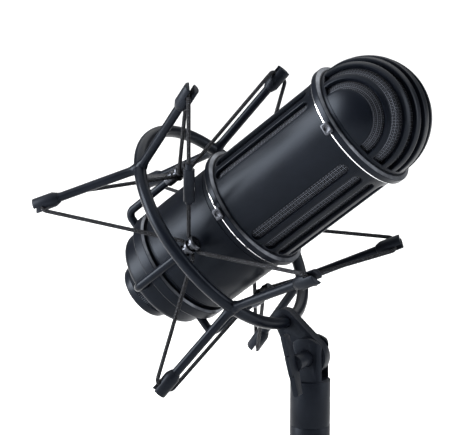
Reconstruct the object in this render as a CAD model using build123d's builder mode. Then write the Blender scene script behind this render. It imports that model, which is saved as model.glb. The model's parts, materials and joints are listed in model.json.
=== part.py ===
from build123d import *
import math
import os

# A large-diaphragm studio microphone in its elastic shock mount, on a swivel stand adapter.
# Millimetres, +Z up. The origin is the mouth of the stand thread, on the axis of the stand.

# Stand adapter
TUBE_R = 10.45
SLEEVE_H = 18.7
THREAD_R = 7.5
THREAD_DEPTH = 16.0
SHOULDER_Z = 42.7
HINGE_Z = 55.0
HEAD_TURNED_R = 9.35
FLAT_Y = 6.9
SLOT_Y = 4.4
SLOT_FLOOR_Z = 43.4
PIVOT_R = 2.95
PIVOT_BORE_R = 3.05
WASHER_R = 8.0
WASHER_INNER_Y = 3.6
WASHER_OUTER_Y = 4.35

# Clamp lever
BOSS_R = 4.3
BOSS_START_Y = 7.2
BOSS_END_Y = 20.5
WEB_START_Y = 18.9
WEB_TIP_START_Y = 21.3
WEB_END_Y = 26.5
WEB_THICKNESS = 2.7
WEB_LENGTH = 32.0
WEB_LEAN = 14.4

# Bracket and outer frame
TILT = 37.8
RING_DROP = 81.6
RING_R = 60.0
RING_ROD_R = 3.2
BRACKET_HALF = 3.3
BRACKET_PIVOT_R = 9.7
BRACKET_TIP_R = 5.6
BRACKET_TIP_REACH = 23.0
ARM_ANGLES = (45, -45, 135, -135)
ARM_ROD_R = 2.35
ARM_TIP_R = 79.5
ARM_TIP_H = 54.6
ARM_RAKE = {-45: (-2.8, 3.0), 135: (0, -1.0)}
CAP_R = 3.9
CAP_LENGTH = 14.0
CAP_SHOULDER = 3.0
FORK_WIDTH = 2.5
FORK_DEPTH = 5.5

# Cradle, settled a little in its cords
CRADLE_SAG = 2.56
CRADLE_NEAR = 0.99
CRADLE_TURN = 3.0
LEG_CIRCLE_R = 39.0
LEG_ROD_R = 2.2
LEG_TOP = -12.0
LEG_FOOT = -42.0
LEG_BEND_R = 4.0
HUB_COLLAR_R = 3.3
HUB_GROOVE_R = 2.0
HUB_FLANGE_R = 3.7
LOWER_GROOVE = (-5.95, -3.5)
UPPER_GROOVE = (-1.9, 0.4)
HUB_SCREW_TOP = 2.3
HUB_SCREW_R = 3.9
CORD_R = 1.05
CORD_LEVELS = {1: sum(UPPER_GROOVE) / 2, -1: sum(LOWER_GROOVE) / 2}
CORD_GAP = 0.1
CORD_BEND_R = HUB_GROOVE_R + CORD_R + CORD_GAP
LOCK_START = 18.4
LOCK_LENGTH = 22.0
LOCK_R = 2.1
LOCK_NECK_R = 1.75
LOCK_NECK = 3.0
CUP_R = 28.0

# Microphone, heights from the centre of the head sphere
HEAD_ABOVE_CRADLE = 100.5
MIC_TURN = -5.0
HEAD_R = 31.5
HEAD_WALL = 2.3
HEAD_SKIRT = -4.0
LOWER_R = 31.4
WALL = 2.0
COLLAR_R = 34.5
COLLAR_BORE_R = 31.55
COLLAR_TOP_R = 32.0
COLLAR_FACET_H = 1.0
TRIM_R = 33.5
TRIM_H = 0.8
UPPER_COLLAR = (-7.1, -3.0)
MID_COLLAR = (-81.4, -77.4)
BODY_SPLIT = -78.0
LOWER_END = -126.9
BASE_RING_R = 32.6
BASE_RING = (-136.5, -129.4)
BASE_NECK_R = 29.3
CUP = (-149.0, -137.4)
STEM_R = 13.6
STEM_WALL = 4.1
STEM_END = -161.9
NUT_R = 16.3
NUT_BAND_R = 15.9
NUT = (-161.6, -149.6)
NUT_TEETH_LOW = -156.8
ARCH_SLOTS = ((28.7, 39.5), (45.5, 58.5), (65, 72), (79, 85.5))
ARCH_FOOT = -1.0
SLOT_FIRST = 36.5
SLOT_PITCH = 18.0
SLOTS_PER_SIDE = 7
SLOT_WIDTH = 6.0
SLOT_SPAN = (-76.6, -13.2)
CAPSULE_H = 7.0
CAPSULE_R = 13.5
CAPSULE_HALF = 4.5
MESH_WALL = 0.5
STEM_TOP = -131.0
PIN_LENGTH = 15.0
CHASSIS_PLATE = (-20.0, -17.0)
RAIL_Y = 22.0
BOARD_SPAN = (-105.0, -40.0)

_T = math.radians(TILT)
AXIS = Vector(math.cos(_T), 0, math.sin(_T))
DROP = Vector(math.sin(_T), 0, -math.cos(_T))
NEAR = Vector(0, -1, 0)
HINGE = Vector(0, 0, HINGE_Z)
RING_CENTRE = HINGE - DROP * RING_DROP


def turned_direction(degrees):
    """Direction across the microphone axis, turned from the near side towards the drop side."""
    turn = math.radians(degrees)
    return NEAR * math.cos(turn) + DROP * math.sin(turn)


FRAME = Plane(origin=RING_CENTRE, x_dir=NEAR, z_dir=AXIS)
CRADLE_CENTRE = RING_CENTRE + DROP * CRADLE_SAG + NEAR * CRADLE_NEAR
CRADLE = Plane(origin=CRADLE_CENTRE, x_dir=turned_direction(CRADLE_TURN), z_dir=AXIS)
HEAD_CENTRE = CRADLE_CENTRE + AXIS * HEAD_ABOVE_CRADLE
MIC = Plane(origin=HEAD_CENTRE, x_dir=turned_direction(MIC_TURN), z_dir=AXIS)
PIVOT = Plane(origin=HINGE, x_dir=(1, 0, 0), z_dir=(0, 1, 0))
MIC_AXIS = Axis(MIC.origin, MIC.z_dir)


def half_plane(frame):
    """Plane through the frame's Z, with radius along its x and height along its y."""
    return Plane(origin=frame.origin, x_dir=frame.x_dir, z_dir=-frame.y_dir)


def polar(frame, radius, degrees, height):
    """Point at a radius, an angle and a height in a frame."""
    turn = math.radians(degrees)
    return frame.from_local_coords(Vector(radius * math.cos(turn), radius * math.sin(turn), height))


def turned(label, frame, outline):
    """Solid of revolution about the frame's Z, from radius and height pairs."""
    with BuildPart() as body:
        with BuildSketch(half_plane(frame)):
            with BuildLine():
                Polyline(*outline, close=True)
            make_face()
        revolve(axis=Axis(frame.origin, frame.z_dir))
    body.part.label = label
    return body.part


def tube(label, frame, inner, outer, low, high):
    """Plain sleeve between two heights."""
    return turned(label, frame, [(inner, low), (outer, low), (outer, high), (inner, high)])


def rod(start, end, radius):
    """Round rod between two points."""
    way = end - start
    with BuildPart() as bar:
        with BuildSketch(Plane(origin=start, z_dir=way)):
            Circle(radius)
        extrude(amount=way.length)
    return bar.part


def make_stand_sleeve():
    with BuildPart() as sleeve:
        Cylinder(TUBE_R, SLEEVE_H, align=(Align.CENTER, Align.CENTER, Align.MIN))
        with BuildSketch(Plane.XY):
            Circle(THREAD_R)
        extrude(amount=THREAD_DEPTH, mode=Mode.SUBTRACT)
        mouth = sleeve.edges().filter_by(GeomType.CIRCLE).group_by(Axis.Z)[0]
        chamfer(mouth.sort_by(SortBy.RADIUS)[-1], length=0.5)
    sleeve.part.label = "stand_sleeve"
    return sleeve.part


def make_swivel_body():
    with BuildPart() as swivel:
        with BuildSketch(Plane.XY.offset(SLEEVE_H)):
            Circle(TUBE_R)
        extrude(amount=HINGE_Z + TUBE_R - SLEEVE_H)
        with BuildSketch(Plane.XZ):
            with Locations((0, (SLEEVE_H + HINGE_Z) / 2)):
                Rectangle(2 * TUBE_R, HINGE_Z - SLEEVE_H)
            with Locations((0, HINGE_Z)):
                Circle(TUBE_R)
        extrude(amount=TUBE_R, both=True, mode=Mode.INTERSECT)
        head_h = HINGE_Z + TUBE_R - SHOULDER_Z
        with BuildSketch(Plane.XY.offset(SHOULDER_Z)):
            with Locations((0, FLAT_Y + TUBE_R / 2), (0, -FLAT_Y - TUBE_R / 2)):
                Rectangle(3 * TUBE_R, TUBE_R)
        extrude(amount=head_h, mode=Mode.SUBTRACT)
        with BuildSketch(Plane.XY.offset(SHOULDER_Z)):
            Circle(2 * TUBE_R)
            Circle(HEAD_TURNED_R, mode=Mode.SUBTRACT)
        extrude(amount=head_h, mode=Mode.SUBTRACT)
        with BuildSketch(Plane.XY.offset(SLOT_FLOOR_Z)):
            Rectangle(3 * TUBE_R, 2 * SLOT_Y)
        extrude(amount=head_h, mode=Mode.SUBTRACT)
        with BuildSketch(PIVOT):
            Circle(PIVOT_BORE_R)
        extrude(amount=TUBE_R, both=True, mode=Mode.SUBTRACT)
    swivel.part.label = "swivel_body"
    return swivel.part


def make_pivot_washers():
    with BuildPart() as washers:
        for side in (-1, 1):
            with BuildSketch(PIVOT.offset(side * WASHER_INNER_Y)):
                Circle(WASHER_R)
                Circle(PIVOT_BORE_R, mode=Mode.SUBTRACT)
            extrude(amount=side * (WASHER_OUTER_Y - WASHER_INNER_Y))
    washers.part.label = "pivot_washers"
    return washers.part


def make_clamp_screw():
    head_r = 5.2
    head_h = 2.6
    with BuildPart() as screw:
        with BuildSketch(PIVOT.offset(-WEB_START_Y)):
            Circle(PIVOT_R)
        extrude(amount=WEB_START_Y + BOSS_START_Y)
        with BuildSketch(PIVOT.offset(BOSS_START_Y)):
            Circle(head_r)
        extrude(amount=head_h)
        chamfer(screw.edges().filter_by(GeomType.CIRCLE).sort_by(Axis.Y)[-1], length=0.9)
        with BuildSketch(PIVOT.offset(BOSS_START_Y + head_h)):
            RegularPolygon(radius=2.0, side_count=6)
        extrude(amount=-1.6, mode=Mode.SUBTRACT)
    screw.part.label = "clamp_screw"
    return screw.part


def make_clamp_lever():
    """Thin wing on a boss, leaning over the hinge, with its inner side swept back to the tips."""
    bulge_r = 5.6
    bulge_rise = 1.2
    half = WEB_LENGTH / 2
    lean = math.radians(WEB_LEAN)
    web = Plane(origin=HINGE, x_dir=(math.cos(lean), 0, math.sin(lean)), z_dir=(0, -1, 0))
    edge_on = Plane(origin=HINGE, x_dir=web.y_dir, z_dir=web.x_dir)
    with BuildPart() as lever:
        with BuildSketch(web.offset(WEB_START_Y)):
            SlotOverall(WEB_LENGTH, WEB_THICKNESS, rotation=90)
        extrude(amount=WEB_END_Y - WEB_START_Y)
        with BuildSketch(edge_on):
            for tip in (-half, half):
                Polygon((0, WEB_START_Y), (tip, WEB_START_Y), (tip, WEB_TIP_START_Y), align=None)
        extrude(amount=WEB_THICKNESS, both=True, mode=Mode.SUBTRACT)
        with BuildSketch(web.offset(BOSS_START_Y)):
            Circle(BOSS_R)
        extrude(amount=BOSS_END_Y - BOSS_START_Y)
        with BuildSketch(web):
            Circle(PIVOT_R + 0.03)
        extrude(amount=WEB_START_Y, mode=Mode.SUBTRACT)
        with BuildSketch(web.offset(WEB_END_Y)):
            SlotOverall(2 * bulge_r, WEB_THICKNESS, rotation=90)
        extrude(amount=bulge_rise, taper=20)
    lever.part.label = "clamp_lever"
    return lever.part


def make_ring_bracket(ring):
    side = Plane(origin=HINGE, x_dir=-DROP, z_dir=NEAR)
    with BuildPart() as bracket:
        with BuildSketch(side):
            Circle(BRACKET_PIVOT_R)
            with Locations((BRACKET_TIP_REACH, 0)):
                Circle(BRACKET_TIP_R)
            make_hull()
        extrude(amount=BRACKET_HALF, both=True)
        with BuildSketch(PIVOT):
            Circle(PIVOT_BORE_R)
        extrude(amount=TUBE_R, both=True, mode=Mode.SUBTRACT)
        add(ring, mode=Mode.SUBTRACT)
        grip = RING_DROP - RING_R
        with BuildSketch(Plane(origin=HINGE - DROP * (BRACKET_TIP_REACH + BRACKET_TIP_R), z_dir=DROP)):
            Circle(1.5)
        extrude(amount=BRACKET_TIP_REACH + BRACKET_TIP_R - grip - RING_ROD_R + 1, mode=Mode.SUBTRACT)
    bracket.part.label = "ring_bracket"
    return bracket.part


def make_bracket_screw():
    top = HINGE - DROP * (BRACKET_TIP_REACH + BRACKET_TIP_R - 0.4)
    length = BRACKET_TIP_REACH + BRACKET_TIP_R - 0.4 - (RING_DROP - RING_R) - RING_ROD_R - 0.02
    with BuildPart() as screw:
        with BuildSketch(Plane(origin=top, z_dir=DROP)):
            Circle(1.45)
        extrude(amount=length)
        with BuildSketch(Plane(origin=top, z_dir=DROP)):
            RegularPolygon(radius=0.8, side_count=6)
        extrude(amount=1.5, mode=Mode.SUBTRACT)
    screw.part.label = "bracket_screw"
    return screw.part


def make_outer_ring():
    with BuildPart() as ring:
        with BuildSketch(half_plane(FRAME)):
            with Locations((RING_R, 0)):
                Circle(RING_ROD_R)
        revolve(axis=Axis(FRAME.origin, FRAME.z_dir))
    ring.part.label = "outer_ring"
    return ring.part


def arm_tip(angle, side):
    """End of one arm: side is +1 towards the head and -1 towards the base."""
    rake_head, rake_base = ARM_RAKE.get(angle, (0, 0))
    rake = rake_head if side > 0 else rake_base
    return polar(FRAME, ARM_TIP_R + rake, angle, side * ARM_TIP_H)


def arm_way(angle, side):
    """Unit vector along an arm, away from the ring."""
    return (arm_tip(angle, side) - polar(FRAME, RING_R, angle, 0)).normalized()


def make_arm(angle, number, ring):
    root = polar(FRAME, RING_R, angle, 0)
    arms = [rod(root, arm_tip(angle, s) - arm_way(angle, s) * CAP_LENGTH, ARM_ROD_R) for s in (1, -1)]
    with BuildPart() as pair:
        add(arms)
        add(ring, mode=Mode.SUBTRACT)
    pair.part.label = f"frame_arm_{number}"
    return pair.part


def make_fork_cap(angle, side):
    """Plastic end cap: a cone, a barrel and an open fork that holds the cord."""
    way = arm_way(angle, side)
    across = FRAME.z_dir.cross(polar(FRAME, 1, angle, 0) - FRAME.origin).normalized()
    seat = Plane(origin=arm_tip(angle, side) - way * CAP_LENGTH, x_dir=across, z_dir=way)
    with BuildPart() as cap:
        with BuildSketch(seat):
            Circle(ARM_ROD_R + 0.3)
        with BuildSketch(seat.offset(CAP_SHOULDER)):
            Circle(CAP_R)
        loft()
        with BuildSketch(seat.offset(CAP_SHOULDER)):
            Circle(CAP_R)
        extrude(amount=CAP_LENGTH - CAP_SHOULDER)
        with BuildSketch(seat.offset(CAP_LENGTH)):
            Rectangle(3 * CAP_R, FORK_WIDTH)
        extrude(amount=-FORK_DEPTH, mode=Mode.SUBTRACT)
    return cap.part


def make_fork_caps():
    caps = [make_fork_cap(angle, side) for angle in ARM_ANGLES for side in (1, -1)]
    with BuildPart() as group:
        add(caps)
    group.part.label = "fork_caps"
    return group.part


def make_cradle_leg(number):
    angle = 90 * number
    line = Plane(
        origin=CRADLE.origin,
        x_dir=polar(CRADLE, 1, angle, 0) - CRADLE.origin,
        z_dir=(polar(CRADLE, 1, angle - 90, 0) - CRADLE.origin),
    )
    with BuildPart() as leg:
        with BuildLine(line) as route:
            FilletPolyline(
                (LEG_CIRCLE_R, LEG_TOP), (LEG_CIRCLE_R, LEG_FOOT), (CUP_R - 1, LEG_FOOT), radius=LEG_BEND_R
            )
        with BuildSketch(Plane(origin=route.line @ 0, z_dir=route.line % 0)):
            Circle(LEG_ROD_R)
        sweep()
        cup_low = CUP[0] + HEAD_ABOVE_CRADLE
        with BuildSketch(CRADLE.offset(cup_low)):
            Circle(CUP_R + 0.01)
        extrude(amount=CUP[1] - CUP[0], mode=Mode.SUBTRACT)
    leg.part.label = f"cradle_leg_{number + 1}"
    return leg.part


def hub_frame(number):
    """Frame on one hub's axis."""
    return Plane(origin=polar(CRADLE, LEG_CIRCLE_R, 90 * number, 0), x_dir=CRADLE.x_dir, z_dir=AXIS)


def make_cord_hubs():
    """Stepped spools on the legs: a collar, then a groove for each cord with a flange between."""
    outline = [
        (0, LEG_TOP + 0.02),
        (HUB_COLLAR_R - 0.5, LEG_TOP + 0.02),
        (HUB_COLLAR_R, LEG_TOP + 0.6),
        (HUB_COLLAR_R, LOWER_GROOVE[0]),
        (HUB_GROOVE_R, LOWER_GROOVE[0]),
        (HUB_GROOVE_R, LOWER_GROOVE[1]),
        (HUB_FLANGE_R, LOWER_GROOVE[1]),
        (HUB_FLANGE_R, UPPER_GROOVE[0]),
        (HUB_GROOVE_R, UPPER_GROOVE[0]),
        (HUB_GROOVE_R, UPPER_GROOVE[1]),
        (0, UPPER_GROOVE[1]),
    ]
    hubs = [turned("hub", hub_frame(n), outline) for n in range(4)]
    with BuildPart() as group:
        add(hubs)
    group.part.label = "cord_hubs"
    return group.part


def make_hub_screw(number):
    """Screw head with a cross recess, facing the head of the microphone."""
    seat = hub_frame(number)
    foot = UPPER_GROOVE[1] + 0.02
    with BuildPart() as screw:
        with BuildSketch(seat.offset(foot)):
            Circle(HUB_SCREW_R)
        extrude(amount=HUB_SCREW_TOP - foot)
        chamfer(screw.edges().filter_by(GeomType.CIRCLE).sort_by(Axis(seat.origin, AXIS))[-1], length=0.6)
        with BuildSketch(seat.offset(HUB_SCREW_TOP)):
            Rectangle(3.4, 0.9)
            Rectangle(0.9, 3.4)
        extrude(amount=-1.0, mode=Mode.SUBTRACT)
    return screw.part


def make_hub_screws():
    screws = [make_hub_screw(n) for n in range(4)]
    with BuildPart() as group:
        add(screws)
    group.part.label = "hub_screws"
    return group.part


def fork_points(angle, side):
    """The two points, one each side of a fork, where the cord turns round the cap."""
    way = arm_way(angle, side)
    across = FRAME.z_dir.cross(polar(FRAME, 1, angle, 0) - FRAME.origin).normalized()
    middle = arm_tip(angle, side) - way * (FORK_DEPTH - CORD_R - CORD_GAP)
    offset = CAP_R + CORD_R + CORD_GAP
    return middle - across * offset, middle + across * offset


def wrap_angle(angle):
    """The same angle, between -180 and 180."""
    return (angle + 180) % 360 - 180


def strand(number, turn, side):
    """Route of one strand: the touching point on its hub, the flange's edge and the fork."""
    hub = hub_frame(number).offset(CORD_LEVELS[side])
    fork = fork_points(wrap_angle(90 * number + turn), side)
    end = fork[0] if turn > 0 else fork[1]
    way = end - hub.origin
    flat = (way - AXIS * way.dot(AXIS)).normalized()
    touch = AXIS.cross(flat) * (1 if turn > 0 else -1)
    first = hub.origin + touch * CORD_BEND_R
    clear = HUB_SCREW_R + CORD_R + CORD_GAP
    leave = first + flat * math.sqrt(clear**2 - CORD_BEND_R**2)
    return first, leave, end


def make_cord(side, label):
    """Endless elastic cord that visits the four forks of one side and the four hubs between them."""
    pieces = []
    for number in range(4):
        hub = hub_frame(number).offset(CORD_LEVELS[side])
        starts = []
        for turn in (-45, 45):
            first, leave, end = strand(number, turn, side)
            starts.append(first)
            pieces += [rod(first, leave, CORD_R), rod(leave, end, CORD_R)]
            pieces += [ball(point, CORD_R) for point in (first, leave, end)]
        pieces.append(hub_bend(hub, starts))
        pieces.append(rod(*fork_points(wrap_angle(90 * number + 45), side), CORD_R))
    with BuildPart() as cord:
        add(pieces)
    cord.part.label = label
    return cord.part


def ball(centre, radius):
    with BuildPart() as round_end:
        with Locations(centre):
            Sphere(radius)
    return round_end.part


def hub_bend(hub, starts):
    """Part of a ring of cord between two touching points on a hub."""
    first, last = [point - hub.origin for point in starts]
    section = Plane(origin=hub.origin, x_dir=first, z_dir=first.cross(AXIS))
    with BuildPart() as bend:
        with BuildSketch(section):
            with Locations((CORD_BEND_R, 0)):
                Circle(CORD_R)
        revolve(axis=Axis(hub.origin, AXIS), revolution_arc=first.get_signed_angle(last, AXIS))
    return bend.part


def make_cord_lock():
    """Plastic ferrule with narrower ends, which joins the ends of the head-side cord."""
    start, end = strand(0, -45, 1)[1:]
    way = (end - start).normalized()
    seat = Plane(origin=start + way * LOCK_START, x_dir=AXIS, z_dir=way)
    with BuildPart() as lock:
        with BuildSketch(seat):
            Circle(LOCK_NECK_R)
        extrude(amount=LOCK_LENGTH)
        with BuildSketch(seat.offset(LOCK_NECK / 2)):
            with Locations((-0.6, 0), (1.0, 0)):
                Circle(LOCK_R)
            make_hull()
        extrude(amount=LOCK_LENGTH - 1.5 * LOCK_NECK)
        with BuildSketch(seat):
            Circle(CORD_R + CORD_GAP)
        extrude(amount=LOCK_LENGTH, mode=Mode.SUBTRACT)
    lock.part.label = "cord_lock"
    return lock.part


def make_cradle_cup():
    low, high = CUP
    return turned(
        "cradle_cup",
        MIC,
        [
            (STEM_R + 0.1, low),
            (CUP_R - 2.5, low),
            (CUP_R - 0.8, low + 0.7),
            (CUP_R, low + 2.4),
            (CUP_R, high - 0.6),
            (CUP_R - 0.6, high),
            (STEM_R + 0.1, high),
        ],
    )


def make_retaining_ring():
    """Ring nut on the stem: a toothed band under the cup, then a plain band with a softened end."""
    low, high = NUT
    bore = STEM_R + 0.1
    return turned(
        "retaining_ring",
        MIC,
        [
            (bore, low),
            (NUT_BAND_R - 1.4, low),
            (NUT_BAND_R - 0.4, low + 0.5),
            (NUT_BAND_R, low + 1.4),
            (NUT_BAND_R, NUT_TEETH_LOW),
            (NUT_R, NUT_TEETH_LOW),
            (NUT_R, high - 0.5),
            (NUT_R - 0.5, high),
            (bore, high),
        ],
    )


def make_base_ring():
    low, high = BASE_RING
    bore = STEM_R + 0.02
    screw_h = (low + high) / 2 + 0.4
    ring = turned(
        "base_ring",
        MIC,
        [
            (bore, low),
            (BASE_RING_R - 0.4, low),
            (BASE_RING_R, low + 0.4),
            (BASE_RING_R, high - 1.3),
            (BASE_RING_R - 1.3, high),
            (BASE_NECK_R, high),
            (BASE_NECK_R, LOWER_END + 4),
            (BASE_NECK_R - 2, LOWER_END + 4),
            (BASE_NECK_R - 2, high - 2),
            (bore, high - 2),
        ],
    )
    with BuildPart() as base:
        add(ring)
        for turn in (0, 120, 240):
            with BuildSketch(radial_plane(turn, screw_h, BASE_RING_R - 3)):
                Circle(1.3)
            extrude(amount=4, mode=Mode.SUBTRACT)
    base.part.label = "base_ring"
    return base.part


def radial_plane(degrees, height, radius):
    """Plane facing outwards from the microphone's axis."""
    out = polar(MIC, 1, degrees, 0) - MIC.origin
    return Plane(origin=polar(MIC, radius, degrees, height), x_dir=MIC.z_dir, z_dir=out)


def make_base_screws():
    screw_h = sum(BASE_RING) / 2 + 0.4
    with BuildPart() as screws:
        for turn in (0, 120, 240):
            seat = radial_plane(turn, screw_h, BASE_RING_R - 2.98)
            with BuildSketch(seat):
                Circle(1.25)
            extrude(amount=2.6)
            with BuildSketch(seat.offset(2.6)):
                RegularPolygon(radius=0.75, side_count=6)
            extrude(amount=-1.4, mode=Mode.SUBTRACT)
    screws.part.label = "base_screws"
    return screws.part


def make_upper_body():
    sleeve = tube("sleeve", MIC, HEAD_R - WALL, HEAD_R, BODY_SPLIT + 0.02, HEAD_SKIRT - 0.02)
    low, high = SLOT_SPAN
    with BuildPart() as upper:
        add(sleeve)
        for side in (-1, 1):
            for step in range(SLOTS_PER_SIDE):
                turn = side * (SLOT_FIRST + SLOT_PITCH * step)
                with BuildSketch(radial_plane(turn, (low + high) / 2, HEAD_R - WALL - 1)):
                    SlotOverall(high - low, SLOT_WIDTH)
                extrude(amount=WALL + 2, mode=Mode.SUBTRACT)
    upper.part.label = "upper_body_tube"
    return upper.part


def make_collar(label, span):
    """Raised collar whose upper edge is one conical facet, down to the tube."""
    low, high = span
    return turned(
        label,
        MIC,
        [
            (COLLAR_BORE_R, low),
            (COLLAR_R - 0.3, low),
            (COLLAR_R, low + 0.3),
            (COLLAR_R, high - COLLAR_FACET_H),
            (COLLAR_TOP_R, high),
            (COLLAR_BORE_R, high),
        ],
    )


def make_trim(label, collar_low):
    """Bright hairline ring under a collar."""
    high = collar_low - 0.02
    return tube(label, MIC, COLLAR_BORE_R, TRIM_R, high - TRIM_H, high)


def make_clasp(label, collar_low):
    """Closing block of a collar, with its screw seat, on the front."""
    seat = radial_plane(0, collar_low, COLLAR_R + 0.02)
    with BuildPart() as clasp:
        with BuildSketch(seat):
            RectangleRounded(4.6, 6.0, 0.9)
        extrude(amount=1.5)
        with BuildSketch(seat.offset(1.5)):
            Circle(1.3)
        extrude(amount=-0.8, mode=Mode.SUBTRACT)
    clasp.part.label = label
    return clasp.part


def make_head_dome():
    """Half sphere with arched slots that run over the top from side to side."""
    inner = HEAD_R - HEAD_WALL
    with BuildPart() as dome:
        with BuildSketch(half_plane(MIC)):
            with BuildLine():
                CenterArc((0, 0), HEAD_R, 0, 90)
                CenterArc((0, 0), inner, 0, 90)
                Line((0, inner), (0, HEAD_R))
                Polyline((inner, 0), (inner, HEAD_SKIRT), (HEAD_R, HEAD_SKIRT), (HEAD_R, 0))
            make_face()
        revolve(axis=MIC_AXIS)
        for start, end in ARCH_SLOTS:
            for low, high in ((start, end), (180 - end, 180 - start)):
                foot = foot_turn(low, high)
                start_way = MIC.y_dir * math.cos(foot) + MIC.z_dir * math.sin(foot)
                with BuildSketch(Plane(origin=MIC.origin, x_dir=MIC.x_dir, z_dir=MIC.x_dir.cross(start_way))):
                    Polygon(*wedge(inner - 1, HEAD_R + 1, low, high), align=None)
                sweep_turn = 180 - 2 * math.degrees(foot)
                revolve(axis=Axis(MIC.origin, MIC.x_dir), revolution_arc=sweep_turn, mode=Mode.SUBTRACT)
    dome.part.label = "head_dome"
    return dome.part


def foot_turn(low, high):
    """Turn about the front axis at which an arch slot starts above the collar."""
    reach = HEAD_R * math.sin(math.radians((low + high) / 2))
    return math.asin(ARCH_FOOT / reach)


def wedge(inner, outer, low, high):
    """Four corners of a wedge between two angles from the front axis."""
    turns = [math.radians(low), math.radians(high)]
    near = [(inner * math.cos(t), inner * math.sin(t)) for t in turns]
    far = [(outer * math.cos(t), outer * math.sin(t)) for t in reversed(turns)]
    return near + far


def make_head_mesh():
    """Wire basket behind the arches, as one thin shell."""
    outer = HEAD_R - HEAD_WALL - 0.05
    inner = outer - MESH_WALL
    with BuildPart() as basket:
        with BuildSketch(half_plane(MIC)):
            with BuildLine():
                CenterArc((0, 0), outer, 0, 90)
                CenterArc((0, 0), inner, 0, 90)
                Line((0, inner), (0, outer))
                Polyline((inner, 0), (inner, HEAD_SKIRT), (outer, HEAD_SKIRT), (outer, 0))
            make_face()
        revolve(axis=MIC_AXIS)
    basket.part.label = "head_mesh"
    return basket.part


def make_body_mesh():
    outer = HEAD_R - WALL - 0.05
    return tube("body_mesh", MIC, outer - MESH_WALL, outer, BODY_SPLIT + 1, HEAD_SKIRT - 0.02)


def make_lower_body():
    return tube("lower_body_tube", MIC, LOWER_R - WALL, LOWER_R, LOWER_END, BODY_SPLIT)


def make_connector_shell():
    """Threaded stem with the connector's mouth at its end."""
    inner = STEM_R - STEM_WALL
    return turned(
        "connector_shell",
        MIC,
        [
            (inner, STEM_END + 0.6),
            (inner + 0.5, STEM_END),
            (STEM_R - 1.0, STEM_END),
            (STEM_R, STEM_END + 1),
            (STEM_R, STEM_TOP),
            (inner, STEM_TOP),
        ],
    )


def make_connector_insert():
    outer = STEM_R - STEM_WALL - 0.05
    return turned("connector_insert", MIC, [(0, STEM_TOP - 12), (outer, STEM_TOP - 12), (outer, STEM_TOP), (0, STEM_TOP)])


def make_connector_pins():
    with BuildPart() as pins:
        with BuildSketch(MIC.offset(STEM_TOP - 12.02)):
            with PolarLocations(3.6, 3):
                Circle(1.2)
        extrude(amount=-PIN_LENGTH)
    pins.part.label = "connector_pins"
    return pins.part


def make_chassis_plate():
    low, high = CHASSIS_PLATE
    outer = HEAD_R - WALL - MESH_WALL - 0.4
    return turned("chassis_plate", MIC, [(0, low), (outer, low), (outer, high), (0, high)])


def make_chassis_rails():
    low = LOWER_END + 4.3
    with BuildPart() as rails:
        with BuildSketch(MIC.offset(low)):
            with Locations((0, RAIL_Y), (0, -RAIL_Y)):
                Rectangle(10, 3)
        extrude(amount=CHASSIS_PLATE[0] - 0.02 - low)
    rails.part.label = "chassis_rails"
    return rails.part


def make_circuit_board():
    with BuildPart() as board:
        with BuildSketch(MIC.offset(BOARD_SPAN[0])):
            with Locations((6, 0)):
                Rectangle(1.6, 2 * RAIL_Y - 3.2)
        extrude(amount=BOARD_SPAN[1] - BOARD_SPAN[0])
    board.part.label = "circuit_board"
    return board.part


def make_transformer():
    with BuildPart() as transformer:
        with BuildSketch(MIC.offset(BOARD_SPAN[0])):
            with Locations((-8, 0)):
                RectangleRounded(18, 24, 2)
        extrude(amount=26)
    transformer.part.label = "transformer"
    return transformer.part


def capsule_plane():
    """Plane of the capsule, facing the front."""
    return Plane(origin=MIC.origin + AXIS * CAPSULE_H, x_dir=MIC.z_dir, z_dir=MIC.x_dir)


def make_capsule_body():
    with BuildPart() as capsule:
        with BuildSketch(capsule_plane()):
            Circle(CAPSULE_R)
        extrude(amount=CAPSULE_HALF, both=True)
        chamfer(capsule.edges().filter_by(GeomType.CIRCLE), length=0.8)
    capsule.part.label = "capsule_body"
    return capsule.part


def make_diaphragms():
    with BuildPart() as diaphragms:
        for side in (-1, 1):
            with BuildSketch(capsule_plane().offset(side * (CAPSULE_HALF + 0.02))):
                Circle(CAPSULE_R - 2)
            extrude(amount=side * 0.3)
    diaphragms.part.label = "capsule_diaphragms"
    return diaphragms.part


def make_capsule_saddle():
    foot = CHASSIS_PLATE[1] + 0.02
    top = CAPSULE_H - CAPSULE_R + 1.2
    with BuildPart() as saddle:
        with BuildSketch(MIC.offset(foot)):
            Circle(9)
        extrude(amount=3)
        with BuildSketch(MIC.offset(foot)):
            RectangleRounded(6, 9, 1.5)
        extrude(amount=top - foot)
        with BuildSketch(capsule_plane()):
            Circle(CAPSULE_R + 0.03)
        extrude(amount=10, both=True, mode=Mode.SUBTRACT)
    saddle.part.label = "capsule_saddle"
    return saddle.part


def export(pieces):
    os.makedirs("parts", exist_ok=True)
    for piece in pieces:
        export_step(piece, f"parts/{piece.label}.step")


def make_stand_pieces():
    return [make_stand_sleeve(), make_swivel_body(), make_pivot_washers(), make_clamp_screw(), make_clamp_lever()]


def make_frame_pieces():
    ring = make_outer_ring()
    arms = [make_arm(angle, n + 1, ring) for n, angle in enumerate(ARM_ANGLES)]
    bracket = [make_ring_bracket(ring), make_bracket_screw()]
    cords = [make_cord(1, "head_cord"), make_cord(-1, "base_cord"), make_cord_lock()]
    return [ring, make_fork_caps()] + arms + bracket + cords


def make_cradle_pieces():
    legs = [make_cradle_leg(n) for n in range(4)]
    return legs + [make_cord_hubs(), make_hub_screws(), make_cradle_cup(), make_retaining_ring()]


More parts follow.
